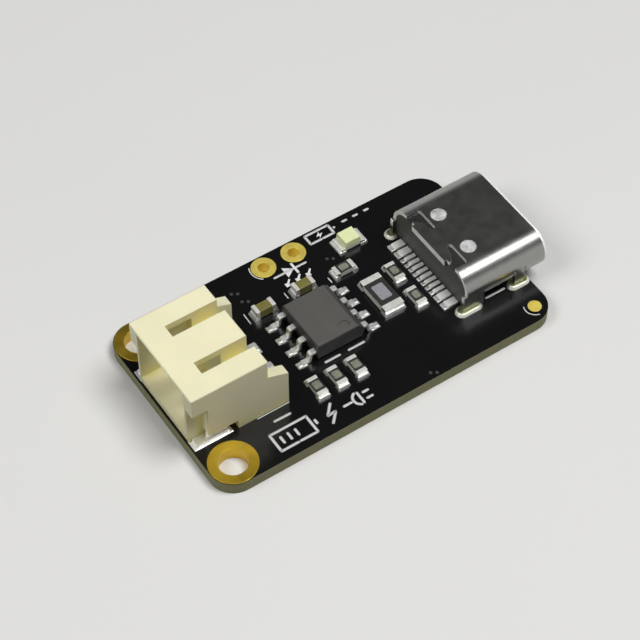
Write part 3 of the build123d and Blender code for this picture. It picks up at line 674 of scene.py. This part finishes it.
def paint_cut_edges_and_rim_highlight(material, cut_and_highlight_colour, cut_roughness, cut_metallic, stakes_end_z, rim_highlight_begins_x):
    """The sheared ends of the sheet are cut steel, paler and rougher than its rolled faces, and their
    paleness is partly a painted highlight; the band round the rim of the mouth is a painted highlight, paler
    and rougher than the rest
    """
    rolled_to, cut_from = 0.25, 0.55
    stake_fade, rim_fade = 0.3 * MM, 0.04 * MM
    tree = material.node_tree
    facing = parts_of(tree, tree.nodes.new("ShaderNodeNewGeometry").outputs["Normal"])
    place = parts_of(tree, own_place(tree))
    cut = ramped(tree, reckoned(tree, "ABSOLUTE", facing["X"]), rolled_to, cut_from)
    above_stakes = ramped(tree, place["Z"], stakes_end_z, stakes_end_z + stake_fade)
    rim = ramped(tree, place["X"], rim_highlight_begins_x, rim_highlight_begins_x + rim_fade)
    # Painted highlight: the rim band, and in part the cut edges, are painted pale for the light they catch.
    pale = reckoned(tree, "MAXIMUM", reckoned(tree, "MULTIPLY", cut, above_stakes), rim)
    refinish(material, pale, cut_and_highlight_colour, cut_roughness, cut_metallic)


def paint_light_and_shade_in_hollows(material, open_from, open_to, painted_hollow_tone, reach_mm):
    """Paints light and shade into the colour of narrow slots: where ambient occlusion finds a surface closed
    in, its colour turns to a painted hollow tone
    """
    tree = material.node_tree
    shader = tree.nodes["Principled BSDF"]
    openness = tree.nodes.new("ShaderNodeAmbientOcclusion")
    openness.samples = 8
    openness.inputs["Distance"].default_value = reach_mm * MM
    open_share = ramped(tree, openness.outputs["AO"], open_from, open_to)
    colour = tinted(tree, open_share, painted_hollow_tone, fed_by(shader, "Base Color"))
    fed(tree, shader.inputs["Base Color"], colour)


moulding_rear_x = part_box("usb_insulator")[0].x
shell_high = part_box("usb_shell")[1]
tin_the_tails(
    contact_gold, tin_colour=(0.96, 0.96, 0.92), tin_roughness=0.55, tin_metallic=0.45,
    gold_begins_x=moulding_rear_x + 0.8 * MM, fade=0.4 * MM,
)
# Partly painted highlight: the shell's cut edges are paler steel, and the rim of its mouth is painted pale
# for the bright line of light along it.
paint_cut_edges_and_rim_highlight(
    shell_steel, cut_and_highlight_colour=(0.97, 0.97, 0.94), cut_roughness=0.55, cut_metallic=0.55,
    stakes_end_z=board_top + 0.9 * MM, rim_highlight_begins_x=shell_high.x - 0.22 * MM,
)
# Painted shade: in its slots, corners and recesses the moulding's colour turns near black, where shade falls.
paint_light_and_shade_in_hollows(
    connector_black, open_from=0.60, open_to=0.95, painted_hollow_tone=(0.008, 0.008, 0.008), reach_mm=1.0,
)
eased("usb_insulator", "usb_moulding", 0.03, connector_black)
eased("usb_mid_plate", "usb_middle_plate", 0.0, shell_steel)
eased("usb_power_contacts", "usb_power_blades", 0.015, contact_gold)
eased("usb_upper_contacts", "usb_upper_blades", 0.015, contact_gold)
eased("usb_lower_contacts", "usb_lower_blades", 0.015, contact_gold)
eased("usb_shell", "usb_steel_shell", 0.045, shell_steel, segments=3)


# Two round spots on the shell's roof are where it was welded to the frame inside: pale, rough and a little
# sunk. Each fills the round mark that the welding tip left in the steel, between the mouth and the rear tab.
weld_metal = finish(
    "weld_spots", (0.80, 0.80, 0.78), 0.50, metallic=0.6,
    mottle=0.60, mottle_mm=0.50, grain_mm=0.22, relief_um=40, wear=0.12,
)
weld_radius = 0.56
weld_spread = 3.54
weld_setback = 5.0
weld_height = 0.04
weld_sink = 0.045
first_weld = (shell_high.x - weld_setback * MM, -weld_spread / 2 * MM, shell_high.z - weld_sink * MM)
grown(
    "usb_weld_spots", flat_outline("weld_spot", circle_route(weld_radius, 60), weld_height * MM), rows,
    {"Count": 2, "First": first_weld, "Pitch": (0, weld_spread * MM, 0)}, weld_metal,
)


# The battery header lies on its side: an ivory nylon moulding round two square tinned pins that turn down to
# the board. A metal blade on each side of the mouth is soldered down and takes the pull of the plug.
ivory_nylon = finish(
    "ivory_nylon", (0.83, 0.79, 0.54), 0.42,
    mottle=0.05, mottle_mm=2.5, grain_mm=0.12, relief_um=2.5, wear=0.06,
)
nylon_shader = ivory_nylon.node_tree.nodes["Principled BSDF"]
nylon_shader.inputs["Subsurface Weight"].default_value = 0.25
nylon_shader.inputs["Subsurface Radius"].default_value = (1.0, 0.8, 0.45)
nylon_shader.inputs["Subsurface Scale"].default_value = 0.5 * MM
# Painted light: in its slots and recesses the ivory nylon turns a stronger, paler yellow, standing in for
# light that glows through the nylon and bounces inside them.
paint_light_and_shade_in_hollows(ivory_nylon, open_from=0.35, open_to=0.92, painted_hollow_tone=(0.93, 0.84, 0.37), reach_mm=1.6)
eased("battery_header_housing", "battery_header_moulding", 0.07, ivory_nylon, segments=3)
eased("battery_contact_positive", "battery_pin_positive", 0.02, tinned_metal)
eased("battery_contact_negative", "battery_pin_negative", 0.02, tinned_metal)
eased("header_hold_down_left", "hold_down_blade_left", 0.02, tinned_metal)
eased("header_hold_down_right", "hold_down_blade_right", 0.02, tinned_metal)


# The studio is a pale matt floor under a dim even sky, with a pale backdrop round it and a large soft lamp on
# each side of the board. The lamps keep clear of the direction that level metal mirrors to the camera, so the
# steel stays deep.
def soft_lamp(name, azimuth, elevation, size, power):
    """A round lamp that faces the board from one direction"""
    lamp_data = bpy.data.lights.new(name, "AREA")
    lamp_data.shape = "DISK"
    lamp_data.size = size
    lamp_data.energy = power
    lamp = placed(name, lamp_data)
    turn, lift = math.radians(azimuth), math.radians(elevation)
    direction = Vector((math.cos(lift) * math.cos(turn), math.cos(lift) * math.sin(turn), math.sin(lift)))
    lamp.location = direction * lamp_distance
    lamp.rotation_mode = "QUATERNION"
    lamp.rotation_quaternion = direction.to_track_quat("Z", "Y")


lamp_distance = 0.35
soft_lamp("key_lamp", azimuth=318, elevation=69, size=0.17, power=0.90)
soft_lamp("side_lamp", azimuth=172, elevation=50, size=0.18, power=0.44)


def seen_share(tree):
    """1 for what the camera sees, straight, in metal or through glass, and 0 for light on the object"""
    rays = tree.nodes.new("ShaderNodeLightPath").outputs
    straight_or_in_metal = reckoned(tree, "MAXIMUM", rays["Is Camera Ray"], rays["Is Glossy Ray"])
    return reckoned(tree, "MAXIMUM", straight_or_in_metal, rays["Is Transmission Ray"])


def pale_backdrop(name, sky_grey, backdrop_grey, overhead_grey):
    """A dim even sky for the object, and a pale backdrop round the horizon for the camera and for metal"""
    world = bpy.data.worlds.new(name)
    world.use_nodes = True
    tree = world.node_tree
    background = tree.nodes["Background"]
    height = parts_of(tree, tree.nodes.new("ShaderNodeTexCoord").outputs["Generated"])["Z"]
    backdrop_top, overhead_from = math.sin(math.radians(12)), math.sin(math.radians(42))
    rise = ramped(tree, height, backdrop_top, overhead_from, backdrop_grey, overhead_grey, "SMOOTHSTEP")
    fed(tree, background.inputs["Strength"], ramped(tree, seen_share(tree), 0, 1, sky_grey, rise))
    background.inputs["Color"].default_value = (1, 1, 1, 1)
    bpy.context.scene.world = world


pale_backdrop("pale_backdrop", sky_grey=0.13, backdrop_grey=0.80, overhead_grey=0.036)


def show_pale_to_the_eye(material, bounce_share, far_grey, near_mm, far_mm):
    """The floor throws little light back up, and to the camera and in metal it stays pale far away"""
    tree = material.node_tree
    shader = tree.nodes["Principled BSDF"]
    shown = seen_share(tree)
    reach = tree.nodes.new("ShaderNodeVectorMath")
    reach.operation = "LENGTH"
    fed(tree, reach.inputs[0], own_place(tree))
    far = ramped(tree, reach.outputs["Value"], near_mm * MM, far_mm * MM, shape="SMOOTHSTEP")
    bounce = ramped(tree, shown, 0, 1, bounce_share, 1)
    lit = reckoned(tree, "MULTIPLY", bounce, reckoned(tree, "SUBTRACT", 1, far))
    dimmed = tree.nodes.new("ShaderNodeVectorMath")
    dimmed.operation = "SCALE"
    fed(tree, dimmed.inputs[0], fed_by(shader, "Base Color"))
    fed(tree, dimmed.inputs["Scale"], lit)
    fed(tree, shader.inputs["Base Color"], dimmed.outputs["Vector"])
    shader.inputs["Emission Color"].default_value = (1, 1, 1, 1)
    glow = reckoned(tree, "MULTIPLY", reckoned(tree, "MULTIPLY", far, shown), far_grey)
    fed(tree, shader.inputs["Emission Strength"], glow)


floor_half = 1.5
floor_mesh = bpy.data.meshes.new("floor")
floor_corners = [(x * floor_half, y * floor_half, 0) for x, y in ((-1, -1), (1, -1), (1, 1), (-1, 1))]
floor_mesh.from_pydata(floor_corners, [], [(0, 1, 2, 3)])
pale_floor = finish(
    "pale_floor", (0.70, 0.695, 0.68), 0.75,
    mottle=0.03, mottle_mm=60, grain_mm=1.5, relief_um=8,
)
show_pale_to_the_eye(pale_floor, bounce_share=0.24, far_grey=0.68, near_mm=90, far_mm=400)
floor_mesh.materials.append(pale_floor)
floor = placed("floor", floor_mesh)


# The camera stands where the photograph was taken from, above the near corner of the battery header. Its
# place comes from the pitches of the pins, and its long lens keeps the board's edges nearly parallel.
camera_azimuth = math.radians(236.434)
camera_elevation = math.radians(51.662)
camera_roll = math.radians(-0.294)
camera_distance = 143.877 * MM
camera_target = Vector((-0.559, 0.674, 1.0)) * MM
image_width_px = 640
focal_length_px = 2063.47
sensor_width_mm = 36
towards_camera = Vector((
    math.cos(camera_elevation) * math.cos(camera_azimuth),
    math.cos(camera_elevation) * math.sin(camera_azimuth),
    math.sin(camera_elevation),
))
level_right = towards_camera.cross(Vector((0, 0, 1))).normalized() * -1
level_up = towards_camera.cross(level_right).normalized()
right = level_right * math.cos(camera_roll) + level_up * math.sin(camera_roll)
up = towards_camera.cross(right)
camera_data = bpy.data.cameras.new("photo_camera")
camera_data.sensor_width = sensor_width_mm
camera_data.lens = sensor_width_mm * focal_length_px / image_width_px
camera_data.clip_start = 0.01
camera_data.clip_end = 5
camera = placed("photo_camera", camera_data)
camera.matrix_world = Matrix.Translation(camera_target + towards_camera * camera_distance) @ Matrix(
    (right, up, towards_camera)
).transposed().to_4x4()
bpy.context.scene.camera = camera
bpy.context.scene.view_settings.view_transform = "Standard"
